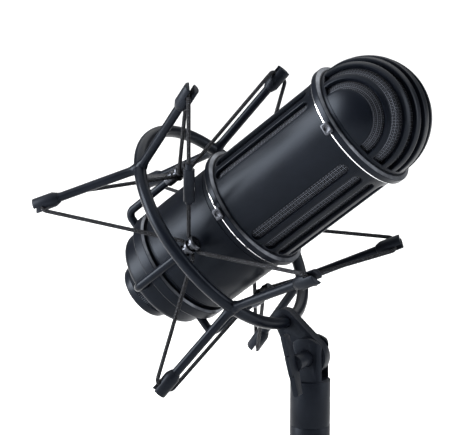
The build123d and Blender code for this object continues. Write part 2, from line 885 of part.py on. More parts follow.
def make_microphone_pieces():
    return [
        make_base_ring(),
        make_base_screws(),
        make_lower_body(),
        make_upper_body(),
        make_collar("mid_collar", MID_COLLAR),
        make_collar("upper_collar", UPPER_COLLAR),
        make_trim("mid_trim_ring", MID_COLLAR[0]),
        make_trim("upper_trim_ring", UPPER_COLLAR[0]),
        make_clasp("mid_clasp", MID_COLLAR[0]),
        make_clasp("upper_clasp", UPPER_COLLAR[0]),
        make_head_dome(),
        make_head_mesh(),
        make_body_mesh(),
        make_connector_shell(),
        make_connector_insert(),
        make_connector_pins(),
        make_chassis_plate(),
        make_chassis_rails(),
        make_circuit_board(),
        make_transformer(),
        make_capsule_body(),
        make_diaphragms(),
        make_capsule_saddle(),
    ]


export(make_stand_pieces())
export(make_frame_pieces())
export(make_cradle_pieces())
export(make_microphone_pieces())
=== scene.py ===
"""Looks of a studio microphone in its ring shock mount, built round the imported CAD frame. Metres, +Z up."""

import math

import bmesh
import bpy
from mathutils import Matrix, Vector
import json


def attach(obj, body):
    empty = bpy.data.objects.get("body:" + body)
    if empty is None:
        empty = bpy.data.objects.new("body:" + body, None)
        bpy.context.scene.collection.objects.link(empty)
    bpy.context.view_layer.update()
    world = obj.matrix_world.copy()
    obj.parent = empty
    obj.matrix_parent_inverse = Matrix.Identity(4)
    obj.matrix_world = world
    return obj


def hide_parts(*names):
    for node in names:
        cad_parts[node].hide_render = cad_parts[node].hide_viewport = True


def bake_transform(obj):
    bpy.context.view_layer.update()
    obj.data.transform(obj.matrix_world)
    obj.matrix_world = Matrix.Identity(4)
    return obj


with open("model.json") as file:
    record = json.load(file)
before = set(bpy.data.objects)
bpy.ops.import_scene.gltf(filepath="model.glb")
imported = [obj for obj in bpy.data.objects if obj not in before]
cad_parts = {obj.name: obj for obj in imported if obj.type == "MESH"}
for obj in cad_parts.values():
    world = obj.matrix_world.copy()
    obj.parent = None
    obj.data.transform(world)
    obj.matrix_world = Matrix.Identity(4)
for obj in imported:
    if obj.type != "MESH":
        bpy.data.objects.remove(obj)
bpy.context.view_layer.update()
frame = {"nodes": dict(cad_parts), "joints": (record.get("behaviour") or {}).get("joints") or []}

MM = 0.001
JOINTS = {joint["name"]: joint for joint in frame["joints"]}
AXIS = Vector(JOINTS["cord_float"]["axis"]).normalized()
HINGE = Vector(JOINTS["swivel_tilt"]["pos_m"])
NUT = Vector(JOINTS["nut_turn"]["pos_m"])
NEAR = Vector((0, -1, 0))
DROP = AXIS.cross(NEAR).normalized()

# Shock mount, in millimetres
RING_DROP = 81.6
RING_R = 60.0
RING_ROD_R = 3.2
ARM_ANGLES = (45, -45, 135, -135)
ARM_ROD_R = 2.35
ARM_TIP_R = 79.5
ARM_TIP_H = 54.6
ARM_RAKE = {-45: (-2.8, 3.0), 135: (0, -1.0)}
CAP_R = 3.9
CAP_LENGTH = 14.0
FORK_DEPTH = 5.5
CRADLE_TURN = 3.0
LEG_CIRCLE_R = 39.0
LEG_ROD_R = 2.2
LEG_TOP = -12.0
LEG_FOOT = -42.0
LEG_BEND_R = 4.0
CUP_R = 28.0
CORD_LEVELS = {1: -0.75, -1: -4.725}
CORD_R = 1.05
CORD_GAP = 0.1
CORD_BEND_R = 3.15
HUB_SCREW_R = 3.9

# Microphone, in millimetres, heights from the centre of the head sphere
NUT_BELOW_HEAD = 154.0
CRADLE_BELOW_HEAD = 100.5
MIC_TURN = -5.0
HEAD_R = 31.5
HEAD_WALL = 2.3
WALL = 2.0
COLLAR_R = 34.5
COLLAR_BORE_R = 31.55
COLLAR_TOP_R = 32.0
COLLAR_FACET_H = 1.0
TRIM_R = 33.5
TRIM_H = 0.8
UPPER_COLLAR = (-7.1, -3.0)
MID_COLLAR = (-81.4, -77.4)
LOWER_R = 31.4
BODY_SPLIT = -78.0
LOWER_END = -126.9
BASE_RING_R = 32.6
BASE_RING = (-136.5, -129.4)
BASE_NECK_R = 29.3
CUP = (-149.0, -137.4)
STEM_R = 13.6
NUT_R = 16.3
NUT_BAND_R = 15.9
NUT_SPAN = (-161.6, -149.6)
NUT_TEETH_LOW = -156.8
ARCH_SLOTS = ((28.7, 39.5), (45.5, 58.5), (65, 72), (79, 85.5))
ARCH_FOOT = -1.0
HEAD_SKIRT = -4.0
SLOT_FIRST = 36.5
SLOT_PITCH = 18.0
SLOTS_PER_SIDE = 7
SLOT_WIDTH = 6.0
SLOT_SPAN = (-76.6, -13.2)


def across(degrees):
    """Unit vector across the microphone's axis, turned from the near side towards the drop side."""
    turn = math.radians(degrees)
    return NEAR * math.cos(turn) + DROP * math.sin(turn)


def seat(origin, x_way, z_way):
    """Matrix of a frame, with lengths in millimetres."""
    z = z_way.normalized()
    x = (x_way - z * x_way.dot(z)).normalized()
    y = z.cross(x)
    turn = Matrix((x, y, z)).transposed().to_4x4()
    return Matrix.Translation(origin) @ turn @ Matrix.Scale(MM, 4)


HEAD_CENTRE = NUT + AXIS * NUT_BELOW_HEAD * MM
CRADLE_CENTRE = HEAD_CENTRE - AXIS * CRADLE_BELOW_HEAD * MM
RING_CENTRE = HINGE - DROP * RING_DROP * MM
MIC = seat(HEAD_CENTRE, across(MIC_TURN), AXIS)
CRADLE = seat(CRADLE_CENTRE, across(CRADLE_TURN), AXIS)
FRAME = seat(RING_CENTRE, NEAR, AXIS)


# ---------------------------------------------------------------- materials


class Nodes:
    """A short hand for wiring one procedural material."""

    def __init__(self, name):
        self.material = bpy.data.materials.new(name)
        self.material.use_nodes = True
        self.tree = self.material.node_tree
        self.shader = self.tree.nodes["Principled BSDF"]

    def add(self, kind, **sockets):
        node = self.tree.nodes.new(kind)
        for name, value in sockets.items():
            self.put(node, name.replace("_", " "), value)
        return node

    def put(self, node, name, value):
        socket = node.inputs[name]
        if isinstance(value, bpy.types.NodeSocket):
            self.tree.links.new(value, socket)
        else:
            socket.default_value = value

    def math(self, operation, first, second=0.5, third=0.0):
        node = self.tree.nodes.new("ShaderNodeMath")
        node.operation = operation
        for index, value in enumerate((first, second, third)):
            if isinstance(value, bpy.types.NodeSocket):
                self.tree.links.new(value, node.inputs[index])
            else:
                node.inputs[index].default_value = value
        return node.outputs[0]

    def noise(self, scale, detail=3.0, roughness=0.55, vector=None):
        node = self.add("ShaderNodeTexNoise", Scale=scale, Detail=detail, Roughness=roughness)
        place = vector or self.add("ShaderNodeTexCoord").outputs["Object"]
        self.tree.links.new(place, node.inputs["Vector"])
        return node.outputs["Fac"]

    def ramp(self, factor, stops):
        node = self.add("ShaderNodeValToRGB", Fac=factor)
        elements = node.color_ramp.elements
        while len(elements) < len(stops):
            elements.new(0.5)
        for element, (place, colour) in zip(elements, stops):
            element.position = place
            element.color = (*colour, 1.0)
        return node.outputs["Color"]

    def spread(self, factor, low, high):
        """Map 0..1 to low..high."""
        node = self.add("ShaderNodeMapRange", Value=factor)
        node.inputs["To Min"].default_value = low
        node.inputs["To Max"].default_value = high
        return node.outputs["Result"]

    def bump(self, height, distance, strength=1.0):
        node = self.add("ShaderNodeBump", Height=height, Distance=distance, Strength=strength)
        self.put(self.shader, "Normal", node.outputs["Normal"])
        return node


def coat_material(name, dark, light, rough, grain, depth, gloss=0.1):
    """Satin black finish: a fine grain, faint clouding of the gloss and a cool sheen."""
    kit = Nodes(name)
    fine = kit.noise(grain, 2.0, 0.6)
    broad = kit.noise(60, 4.0)
    kit.put(kit.shader, "Base Color", kit.ramp(broad, [(0.3, dark), (0.75, light)]))
    haze = kit.math("MULTIPLY_ADD", fine, 0.35, kit.math("MULTIPLY", broad, 0.65))
    kit.put(kit.shader, "Roughness", kit.spread(haze, rough[0], rough[1]))
    kit.shader.inputs["Specular IOR Level"].default_value = gloss
    kit.shader.inputs["Specular Tint"].default_value = (0.72, 0.83, 1.0, 1.0)
    kit.bump(fine, depth)
    return kit.material


def metal_material(name, dark, light, rough, grain=900):
    """Polished or plated metal with faint handling marks."""
    kit = Nodes(name)
    fine = kit.noise(grain, 5.0)
    broad = kit.noise(140, 3.0)
    kit.put(kit.shader, "Base Color", kit.ramp(broad, [(0.3, dark), (0.7, light)]))
    kit.put(kit.shader, "Roughness", kit.spread(fine, rough[0], rough[1]))
    kit.shader.inputs["Metallic"].default_value = 1.0
    kit.bump(fine, 0.000004)
    return kit.material


def mesh_material():
    """Woven wire: a square grid of round wires, with painted shade in the holes between them, laid out by the
    piece's own map.
    """
    kit = Nodes("woven_wire")
    place = kit.add("ShaderNodeSeparateXYZ", Vector=kit.add("ShaderNodeUVMap").outputs["UV"])
    pitch = 0.95
    waves = []
    for axis, other in (("X", "Y"), ("Y", "X")):
        run = kit.math("DIVIDE", place.outputs[axis], pitch)
        wire = kit.math("ABSOLUTE", kit.math("SINE", kit.math("MULTIPLY", run, math.pi)))
        cross = kit.math("DIVIDE", place.outputs[other], pitch)
        over = kit.math("SINE", kit.math("MULTIPLY", cross, math.pi))
        waves.append(kit.math("MULTIPLY_ADD", over, 0.12, wire))
    height = kit.math("MAXIMUM", waves[0], waves[1])
    solid = kit.add("ShaderNodeMapRange", Value=height)
    solid.inputs["From Min"].default_value = 0.86
    solid.inputs["From Max"].default_value = 0.98
    cover = solid.outputs["Result"]
    # The low stop paints the holes near-black as shade from the inside; the high stop is the wire's own
    # colour.
    colours = [(0.0, (0.0006, 0.0006, 0.0008)), (1.0, (0.075, 0.082, 0.1))]
    kit.put(kit.shader, "Base Color", kit.ramp(cover, colours))
    kit.put(kit.shader, "Metallic", kit.math("MULTIPLY", cover, 0.8))
    kit.put(kit.shader, "Roughness", kit.spread(cover, 0.9, 0.34))
    kit.shader.inputs["Specular IOR Level"].default_value = 0.12
    kit.bump(height, 0.00022)
    return kit.material


def braid_material():
    """Braided textile cord: two crossing helices of yarn, with a few pale flecks, and painted shade in the
    dips of the weave.
    """
    kit = Nodes("braided_cord")
    place = kit.add("ShaderNodeSeparateXYZ", Vector=kit.add("ShaderNodeUVMap").outputs["UV"])
    around = kit.math("MULTIPLY", place.outputs["X"], 2 * math.pi * 4)
    along = kit.math("MULTIPLY", place.outputs["Y"], 2 * math.pi / 1.5)
    left = kit.math("SINE", kit.math("ADD", around, along))
    right = kit.math("SINE", kit.math("SUBTRACT", around, along))
    weave = kit.math("MULTIPLY_ADD", kit.math("MULTIPLY", left, right), 0.5, 0.5)
    flecks = kit.noise(1400, 2.0)
    # The flecks are the yarn's own colour; the weave term darkens the dips of the bump, which is painted
    # shade.
    shade = kit.math("MULTIPLY_ADD", flecks, 0.6, kit.math("MULTIPLY", weave, 0.4))
    colours = [(0.35, (0.002, 0.002, 0.0026)), (0.60, (0.007, 0.0075, 0.0095)), (0.74, (0.07, 0.076, 0.09))]
    kit.put(kit.shader, "Base Color", kit.ramp(shade, colours))
    kit.put(kit.shader, "Roughness", kit.spread(weave, 0.9, 0.6))
    kit.shader.inputs["Specular IOR Level"].default_value = 0.15
    kit.bump(weave, 0.0002)
    return kit.material


def board_material():
    """Circuit board: green mask with copper traces under it."""
    kit = Nodes("circuit_board")
    traces = kit.add("ShaderNodeTexBrick", Scale=320.0)
    traces.inputs["Color1"].default_value = (0.01, 0.09, 0.04, 1)
    traces.inputs["Color2"].default_value = (0.012, 0.11, 0.05, 1)
    traces.inputs["Mortar"].default_value = (0.05, 0.2, 0.08, 1)
    kit.put(kit.shader, "Base Color", traces.outputs["Color"])
    kit.put(kit.shader, "Roughness", kit.spread(kit.noise(500), 0.25, 0.45))
    kit.bump(traces.outputs["Fac"], 0.00004)
    return kit.material


BODY = coat_material(
    "body_black", dark=(0.0013, 0.0018, 0.0032), light=(0.0028, 0.0036, 0.006),
    rough=(0.30, 0.40), grain=5200, depth=0.00001,
)
BAND = coat_material(
    "band_black", dark=(0.0018, 0.0024, 0.004), light=(0.0045, 0.0056, 0.0088),
    rough=(0.24, 0.36), grain=4200, depth=0.00001,
)
COAT = coat_material(
    "rod_coat", dark=(0.0016, 0.0022, 0.0038), light=(0.004, 0.005, 0.008),
    rough=(0.26, 0.38), grain=3600, depth=0.00002,
)
CAST = coat_material(
    "cast_black", dark=(0.002, 0.0026, 0.0042), light=(0.0055, 0.0066, 0.01),
    rough=(0.36, 0.5), grain=2400, depth=0.00004,
)
PLASTIC = coat_material(
    "moulded_plastic", dark=(0.0025, 0.003, 0.0045), light=(0.006, 0.0072, 0.0105),
    rough=(0.34, 0.5), grain=3000, depth=0.00003,
)
STEEL = metal_material("dark_steel", (0.03, 0.032, 0.038), (0.065, 0.069, 0.08), (0.24, 0.42))
# Paler metal laid on the chamfer facets as a painted highlight.
PAINTED_HIGHLIGHT_METAL = metal_material("painted_highlight_rim", (0.05, 0.054, 0.064), (0.15, 0.16, 0.18), (0.3, 0.46), 2600)
CHROME = metal_material("polished_trim", (0.78, 0.79, 0.81), (0.9, 0.91, 0.93), (0.06, 0.16))
BRASS = metal_material("plated_brass", (0.62, 0.46, 0.2), (0.8, 0.62, 0.32), (0.2, 0.38))
WIRE = mesh_material()
BRAID = braid_material()
BOARD = board_material()


# ---------------------------------------------------------------- mesh tools


def make_piece(name, mesh, body, material, slot, nodes=(), sharp=32):
    """Finish a mesh: material, shading, body, and the CAD nodes it stands for."""
    mesh.materials.clear()
    mesh.materials.append(material)
    mesh.polygons.foreach_set("use_smooth", [True] * len(mesh.polygons))
    mesh.set_sharp_from_angle(angle=math.radians(sharp))
    piece = bpy.data.objects.new(name, mesh)
    bpy.context.scene.collection.objects.link(piece)
    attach(piece, body)
    if nodes:
        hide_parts(*nodes)
    return piece


def rounded(points, radius, steps=4, closed=True):
    """The same outline with each corner turned into a small arc."""
    corners = [Vector(p) for p in points]
    result = []
    count = len(corners)
    for index, corner in enumerate(corners):
        if not closed and index in (0, count - 1):
            result.append(corner)
            continue
        before = corners[index - 1] - corner
        after = corners[(index + 1) % count] - corner
        size = min(radius, before.length * 0.45, after.length * 0.45)
        start = corner + before.normalized() * size
        end = corner + after.normalized() * size
        for step in range(steps + 1):
            t = step / steps
            result.append(start * (1 - t) ** 2 + corner * 2 * t * (1 - t) + end * t**2)
    return result


def grid_mesh(name, rows, wrap_rows=False, wrap_columns=False, uvs=None, matrix=None):
    """Quads between rows of points."""
    mesh = bpy.data.meshes.new(name)
    work = bmesh.new()
    layer = work.loops.layers.uv.new("UVMap") if uvs else None
    verts = [[work.verts.new(matrix @ Vector(p) if matrix else p) for p in row] for row in rows]
    row_count, column_count = len(verts), len(verts[0])
    for i in range(row_count if wrap_rows else row_count - 1):
        for j in range(column_count if wrap_columns else column_count - 1):
            cells = [(i, j), (i, j + 1), (i + 1, j + 1), (i + 1, j)]
            face = work.faces.new([verts[a % row_count][b % column_count] for a, b in cells])
            if layer:
                for loop, (a, b) in zip(face.loops, cells):
                    loop[layer].uv = uvs(a, b)
    bmesh.ops.remove_doubles(work, verts=work.verts, dist=1e-7)
    bmesh.ops.recalc_face_normals(work, faces=work.faces)
    work.to_mesh(mesh)
    work.free()
    return mesh


def lathe(name, matrix, outline, segments=160, radius_at=None):
    """Surface of revolution about the frame's Z. radius_at(radius, height, turn) may change the radius."""
    rows = []
    for step in range(segments):
        turn = 2 * math.pi * step / segments
        row = []
        for radius, height in outline:
            r = radius_at(radius, height, turn) if radius_at else radius
            row.append((r * math.cos(turn), r * math.sin(turn), height))
        rows.append(row)
    return grid_mesh(name, rows, wrap_rows=True, wrap_columns=True, matrix=matrix)


def turned_piece(name, matrix, outline, body, material, slot, nodes=(), soften=0.3, segments=160):
    """A lathe-turned piece with softened corners."""
    mesh = lathe(name, matrix, rounded(outline, soften), segments)
    return make_piece(name, mesh, body, material, slot, nodes)


def path_frames(points):
    """Frames that follow a path with no twist."""
    tangents = []
    for index in range(len(points)):
        ahead = points[min(index + 1, len(points) - 1)] - points[max(index - 1, 0)]
        tangents.append(ahead.normalized())
    normal = tangents[0].orthogonal().normalized()
    frames = []
    for tangent in tangents:
        normal = (normal - tangent * normal.dot(tangent)).normalized()
        frames.append((normal, tangent.cross(normal)))
    return frames


def tube_rows(points, radii, segments):
    rows = []
    for point, radius, (first, second) in zip(points, radii, path_frames(points)):
        turns = [2 * math.pi * s / segments for s in range(segments + 1)]
        rows.append([point + (first * math.cos(t) + second * math.sin(t)) * radius for t in turns])
    return rows


def tube_mesh(name, points, radii, segments=24):
    """Round tube along a path, with a map in turns and millimetres."""
    lengths = [0.0]
    for before, after in zip(points, points[1:]):
        lengths.append(lengths[-1] + (after - before).length / MM)
    rows = tube_rows(points, radii, segments)
    return grid_mesh(name, rows, uvs=lambda a, b: (b / segments, lengths[a]))


def softened_copy(node, name, width, material, slot, body, steps=2):
    """Copy of a CAD node with its sharp edges rounded."""
    mesh = frame["nodes"][node].data.copy()
    work = bmesh.new()
    work.from_mesh(mesh)
    bmesh.ops.remove_doubles(work, verts=work.verts, dist=2e-6)
    bmesh.ops.dissolve_limit(work, angle_limit=math.radians(1.0), verts=work.verts, edges=work.edges)
    work.to_mesh(mesh)
    work.free()
    holder = bpy.data.objects.new(name + "_work", mesh)
    bpy.context.scene.collection.objects.link(holder)
    bevel = holder.modifiers.new("edges", "BEVEL")
    bevel.width = width * MM
    bevel.segments = steps
    bevel.limit_method = "ANGLE"
    bevel.angle_limit = math.radians(34)
    bevel.use_clamp_overlap = True
    bpy.context.view_layer.update()
    ready = holder.evaluated_get(bpy.context.evaluated_depsgraph_get())
    result = bpy.data.meshes.new_from_object(ready)
    bpy.data.objects.remove(holder)
    result.name = name
    return make_piece(name, result, body, material, slot, (node,), sharp=40)


# ---------------------------------------------------------------- microphone


def build_head():
    """Arched ribs and the two end caps of the head, each turned about the front-to-back axis."""
    edges = [0]
    for start, end in ARCH_SLOTS:
        edges += [start, end]
    edges += [180 - e for e in reversed(edges[1:])] + [180]
    spans = list(zip(edges[::2], edges[1::2]))
    pieces = [build_arch(number, low, high) for number, (low, high) in enumerate(spans)]
    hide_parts("head_dome")


def arch_section(low, high):
    """Angle and radius pairs across one rib, with softened outer corners."""
    inner = HEAD_R - HEAD_WALL
    soft = 0.45
    first, last = math.radians(low), math.radians(high)
    lip = soft / HEAD_R
    count = max(3, int((high - low) / 2))
    crown = [(first + lip + (last - first - 2 * lip) * k / count, HEAD_R) for k in range(count + 1)]
    opening = [(first, inner), (first, HEAD_R - soft), (first + lip * 0.3, HEAD_R - soft * 0.3)]
    closing = [(last - lip * 0.3, HEAD_R - soft * 0.3), (last, HEAD_R - soft), (last, inner)]
    if low == 0:
        opening = [(0.0, HEAD_R)]
    if high == 180:
        closing = [(math.pi, HEAD_R)]
    return opening + crown + closing


def over_head(angle, radius, step, steps, foot):
    """Point on an arch: step 0 and the last one stand straight below the equator."""
    side = radius * math.sin(angle)
    turn = math.pi * min(max(step - 1, 0), steps) / steps
    height = foot if step in (0, steps + 2) else side * math.sin(turn)
    return radius * math.cos(angle), side * math.cos(turn), height


def build_arch(number, low, high):
    """One rib or cap between two angles from the front."""
    steps = 72
    section = arch_section(low, high)
    rows = [[over_head(a, r, step, steps, ARCH_FOOT - 0.1) for a, r in section] for step in range(steps + 3)]
    mesh = grid_mesh(f"head_arch_{number}", rows, matrix=MIC)
    return make_piece(f"head_arch_{number}", mesh, "microphone", BODY, "body_black")


def build_head_base():
    """Band at the foot of the arches, set inside the collar."""
    inner = HEAD_R - HEAD_WALL
    rim = 0.3
    outline = [
        (inner, HEAD_SKIRT),
        (HEAD_R, HEAD_SKIRT),
        (HEAD_R, ARCH_FOOT - rim),
        (HEAD_R - rim, ARCH_FOOT),
        (inner, ARCH_FOOT),
    ]
    turned_piece("head_base", MIC, outline, "microphone", BODY, "body_black")


def build_head_basket():
    """Wire basket under the arches, mapped in rings about the front axis."""
    radius = HEAD_R - HEAD_WALL - 0.35
    count, steps = 60, 60
    angles = [math.pi * (0.02 + 0.96 * i / count) for i in range(count + 1)]
    rows = []
    for angle in angles:
        rows.append([over_head(angle, radius, step, steps, HEAD_SKIRT) for step in range(steps + 3)])
    half_turn = radius * math.pi

    def uvs(row, step):
        along = half_turn * min(max(step - 1, 0), steps) / steps
        if step == 0:
            along = HEAD_SKIRT
        if step == steps + 2:
            along = half_turn - HEAD_SKIRT
        return half_turn * row / count, along

    mesh = grid_mesh("head_basket", rows, uvs=uvs, matrix=MIC)
    make_piece("head_basket", mesh, "microphone", WIRE, "mesh_steel", ("head_mesh",))


def build_body_basket():
    """Wire sleeve under the body slots."""
    radius = HEAD_R - WALL - 0.3
    low, high = BODY_SPLIT + 1, HEAD_SKIRT
    turns = 160
    rows = [[(radius * math.cos(2 * math.pi * j / turns), radius * math.sin(2 * math.pi * j / turns), h)
             for j in range(turns + 1)] for h in (low, high)]
    mesh = grid_mesh(
        "body_basket", rows, uvs=lambda a, b: (2 * math.pi * radius * b / turns, (high - low) * a), matrix=MIC
    )
    make_piece("body_basket", mesh, "microphone", WIRE, "mesh_steel", ("body_mesh",))


def slot_ring(half_width, half_length, arc_steps, rows):
    """Points round a slot with round ends: angles go once round, straight sides carry the given rows."""
    reach = half_length - half_width
    points = [(half_width, h * reach) for h in rows]
    for step in range(1, arc_steps):
        turn = math.pi * step / arc_steps
        points.append((half_width * math.cos(turn), reach + half_width * math.sin(turn)))
    points += [(-half_width, h * reach) for h in reversed(rows)]
    for step in range(1, arc_steps):
        turn = math.pi + math.pi * step / arc_steps
        points.append((half_width * math.cos(turn), -reach + half_width * math.sin(turn)))
    return points


def build_upper_body():
    """Slotted sleeve: each slot has its own cell of the wall, with plain panels front and back."""
    low, high = SLOT_SPAN
    middle = (low + high) / 2
    half_length = (high - low) / 2
    half_width = SLOT_WIDTH / 2
    top, bottom = HEAD_SKIRT, BODY_SPLIT
    rows = [-1 + 2 * k / 24 for k in range(25)]
    arc_steps = 12
    reach = half_length - half_width
    half_cell = math.radians(SLOT_PITCH / 2)
    levels = [bottom] + [middle + r * reach for r in rows] + [top]
    work = bmesh.new()

    def place(turn, height, radius):
        return MIC @ Vector((radius * math.cos(turn), radius * math.sin(turn), height))

    def strip(first, second):
        count = len(first)
        for k in range(count):
            quad = [first[k], first[(k + 1) % count], second[(k + 1) % count], second[k]]
            work.faces.new([work.verts.new(p) for p in quad])

    for side in (-1, 1):
        for step in range(SLOTS_PER_SIDE):
            centre = side * math.radians(SLOT_FIRST + SLOT_PITCH * step)
            layers = []
            for grow, sink in ((0.55, 0.0), (0.4, 0.03), (0.12, 0.16), (0.0, 0.45), (0.0, WALL)):
                ring = slot_ring(half_width + grow, half_length + grow, arc_steps, rows)
                layers.append([place(centre + x / HEAD_R, middle + y, HEAD_R - sink) for x, y in ring])
            cell = []
            plain = slot_ring(half_width, half_length, arc_steps, rows)
            for x, y in plain:
                if abs(abs(x) - half_width) < 1e-6 and abs(y) <= reach + 1e-6:
                    cell.append((math.copysign(half_cell, x), middle + y))
                else:
                    level = top if y > 0 else bottom
                    cell.append((half_cell * x / half_width, level))
            outer = [place(centre + x, y, HEAD_R) for x, y in cell]
            rim = slot_ring(half_width + 0.55, half_length + 0.55, arc_steps, rows)
            middle_ring = []
            for (x, y), (rim_x, rim_y) in zip(cell, rim):
                half_way = centre + (x + rim_x / HEAD_R) / 2
                middle_ring.append(place(half_way, (y + middle + rim_y) / 2, HEAD_R))
            strip(outer, middle_ring)
            strip(middle_ring, layers[0])
            for first, second in zip(layers, layers[1:]):
                strip(first, second)
    for start, end in panel_spans():
        count = max(2, int(math.degrees(end - start) / 2.5))
        for k in range(count):
            a = start + (end - start) * k / count
            b = start + (end - start) * (k + 1) / count
            for lower, upper in zip(levels, levels[1:]):
                corners = [(a, lower), (b, lower), (b, upper), (a, upper)]
                work.faces.new([work.verts.new(place(turn, height, HEAD_R)) for turn, height in corners])
    bmesh.ops.remove_doubles(work, verts=work.verts, dist=2e-6)
    bmesh.ops.recalc_face_normals(work, faces=work.faces)
    mesh = bpy.data.meshes.new("upper_body")
    work.to_mesh(mesh)
    work.free()
    make_piece("upper_body", mesh, "microphone", BODY, "body_black", ("upper_body_tube",))


def panel_spans():
    """Angles of the plain front and back panels, between the first and last slot cells."""
    half = SLOT_PITCH / 2
    front = math.radians(SLOT_FIRST - half)
    back = math.radians(SLOT_FIRST + SLOT_PITCH * (SLOTS_PER_SIDE - 1) + half)
    return [(-front, front), (back, 2 * math.pi - back)]


def build_collars():
    """Raised bands with a conical facet on top, whose pale strip is a painted highlight laid on as a separate
    facet, and a bright hairline ring under each.
    """
    for name, (low, high) in (("mid", MID_COLLAR), ("upper", UPPER_COLLAR)):
        outline = [
            (COLLAR_BORE_R, low),
            (COLLAR_R - 0.3, low),
            (COLLAR_R, low + 0.3),
            (COLLAR_R, high - COLLAR_FACET_H),
            (COLLAR_TOP_R, high),
            (COLLAR_BORE_R, high),
        ]
        collar = (f"{name}_collar",)
        turned_piece(f"{name}_band", MIC, outline, "microphone", BAND, "body_black", collar, 0.12, 200)
        trim_top = low - 0.02
        trim = [
            (COLLAR_BORE_R, trim_top - TRIM_H),
            (TRIM_R - 0.1, trim_top - TRIM_H),
            (TRIM_R, trim_top - TRIM_H + 0.1),
            (TRIM_R, trim_top),
            (COLLAR_BORE_R, trim_top),
        ]
        node = f"{name}_trim_ring"
        turned_piece(f"{name}_bright_ring", MIC, trim, "microphone", CHROME, "trim_chrome", (node,), 0.1, 200)


def build_highlight_rim(name, low, high):
    """Thin facet of paler metal over a chamfer, a painted highlight, from one radius and height pair to
    another.
    """
    lift, depth = 0.03, 0.2
    outline = [
        (low[0] + lift, low[1] + lift),
        (high[0] + lift, high[1] + lift),
        (high[0] - depth, high[1] - depth),
        (low[0] - depth, low[1] - depth),
    ]
    mesh = lathe(name, MIC, outline, 200)
    make_piece(name, mesh, "microphone", PAINTED_HIGHLIGHT_METAL, "body_black")


def build_highlight_rims():
    """Facets of paler metal painted on as highlights: the tops of both collars and of the base ring."""
    for name, (_, high) in (("mid", MID_COLLAR), ("upper", UPPER_COLLAR)):
        start = (COLLAR_R - 0.3, high - COLLAR_FACET_H + 0.12)
        build_highlight_rim(f"{name}_rim", start, (COLLAR_TOP_R + 0.4, high - 0.16))
    top = BASE_RING[1]
    build_highlight_rim("base_rim", (BASE_RING_R - 0.15, top - 1.15), (BASE_RING_R - 1.15, top - 0.15))


def build_lower_body():
    """Plain tube with a fine turned groove at each end."""
    outline = [(LOWER_R - WALL, LOWER_END), (LOWER_R - 0.5, LOWER_END), (LOWER_R, LOWER_END + 0.5)]
    outline += groove(MID_COLLAR[0] - 4.6)
    outline += [(LOWER_R, BODY_SPLIT), (LOWER_R - WALL, BODY_SPLIT)]
    mesh = lathe("lower_body", MIC, outline, 200)
    make_piece("lower_body", mesh, "microphone", BODY, "body_black", ("lower_body_tube",))


def groove(height):
    """Radius and height pairs of a fine groove round the lower body."""
    half, depth = 0.22, 0.35
    return [
        (LOWER_R, height - half),
        (LOWER_R - depth, height - half * 0.5),
        (LOWER_R - depth, height + half * 0.5),
        (LOWER_R, height + half),
    ]


def build_base():
    low, high = BASE_RING
    bore = STEM_R + 0.02
    outline = [
        (bore, low),
        (BASE_RING_R - 0.5, low),
        (BASE_RING_R, low + 0.5),
        (BASE_RING_R, high - 1.3),
        (BASE_RING_R - 1.3, high),
        (BASE_NECK_R, high),
        (BASE_NECK_R, LOWER_END + 4),
        (BASE_NECK_R - 2, LOWER_END + 4),
        (BASE_NECK_R - 2, high - 2),
        (bore, high - 2),
    ]
    turned_piece("base_band", MIC, outline, "microphone", BODY, "body_black", ("base_ring",), 0.22, 200)
    cup_low, cup_high = CUP
    cup = [
        (STEM_R + 0.1, cup_low),
        (CUP_R - 2.6, cup_low),
        (CUP_R - 0.9, cup_low + 0.7),
        (CUP_R, cup_low + 2.4),
        (CUP_R, cup_high - 0.6),
        (CUP_R - 0.6, cup_high),
        (STEM_R + 0.1, cup_high),
    ]
    turned_piece("cradle_socket", MIC, cup, "microphone", BODY, "body_black", ("cradle_cup",), 0.9, 200)


def build_retaining_nut():
    """Ring nut with a band of fine axial teeth, then a smooth band with a rounded end."""
    low, high = NUT_SPAN
    bore = STEM_R + 0.1
    ribs = 96
    top = high - 0.5
    outline = [(bore, low), (NUT_BAND_R - 1.5, low), (NUT_BAND_R - 0.6, low + 0.3)]
    outline += [(NUT_BAND_R - 0.2, low + 0.8), (NUT_BAND_R, low + 1.4), (NUT_BAND_R, NUT_TEETH_LOW - 0.05)]
    outline += [(NUT_R - 0.1, NUT_TEETH_LOW), (NUT_R, NUT_TEETH_LOW + 0.2)]
    outline += [(NUT_R, (NUT_TEETH_LOW + top) / 2)]
    outline += [(NUT_R, top), (NUT_R - 0.5, high), (bore, high)]

    def ribbed(radius, _height, turn):
        if radius < NUT_R:
            return radius
        return radius - 0.5 * (0.5 - 0.5 * math.cos(turn * ribs)) ** 0.7

    mesh = lathe("knurled_nut", MIC, outline, ribs * 8, ribbed)
    make_piece("knurled_nut", mesh, "retaining_nut", BAND, "body_black", ("retaining_ring",), sharp=50)


# ---------------------------------------------------------------- shock mount


def local(matrix, radius, degrees, height):
    """Point at a radius, an angle and a height, in millimetres, in a frame."""
    turn = math.radians(degrees)
    return matrix @ Vector((radius * math.cos(turn), radius * math.sin(turn), height))


def build_ring():
    turns, sides = 256, 32
    rows = []
    for i in range(turns):
        a = 2 * math.pi * i / turns
        row = []
        for j in range(sides):
            b = 2 * math.pi * j / sides
            r = RING_R + RING_ROD_R * math.cos(b)
            row.append((r * math.cos(a), r * math.sin(a), RING_ROD_R * math.sin(b)))
        rows.append(row)
    mesh = grid_mesh("ring_rod", rows, True, True, matrix=FRAME)
    make_piece("ring_rod", mesh, "shock_frame", COAT, "black_coat", ("outer_ring",))


def arm_tip(angle, side):
    rakes = ARM_RAKE.get(angle, (0, 0))
    rake = rakes[0] if side > 0 else rakes[1]
    return local(FRAME, ARM_TIP_R + rake, angle, side * ARM_TIP_H)


def arm_way(angle, side):
    return (arm_tip(angle, side) - local(FRAME, RING_R, angle, 0)).normalized()


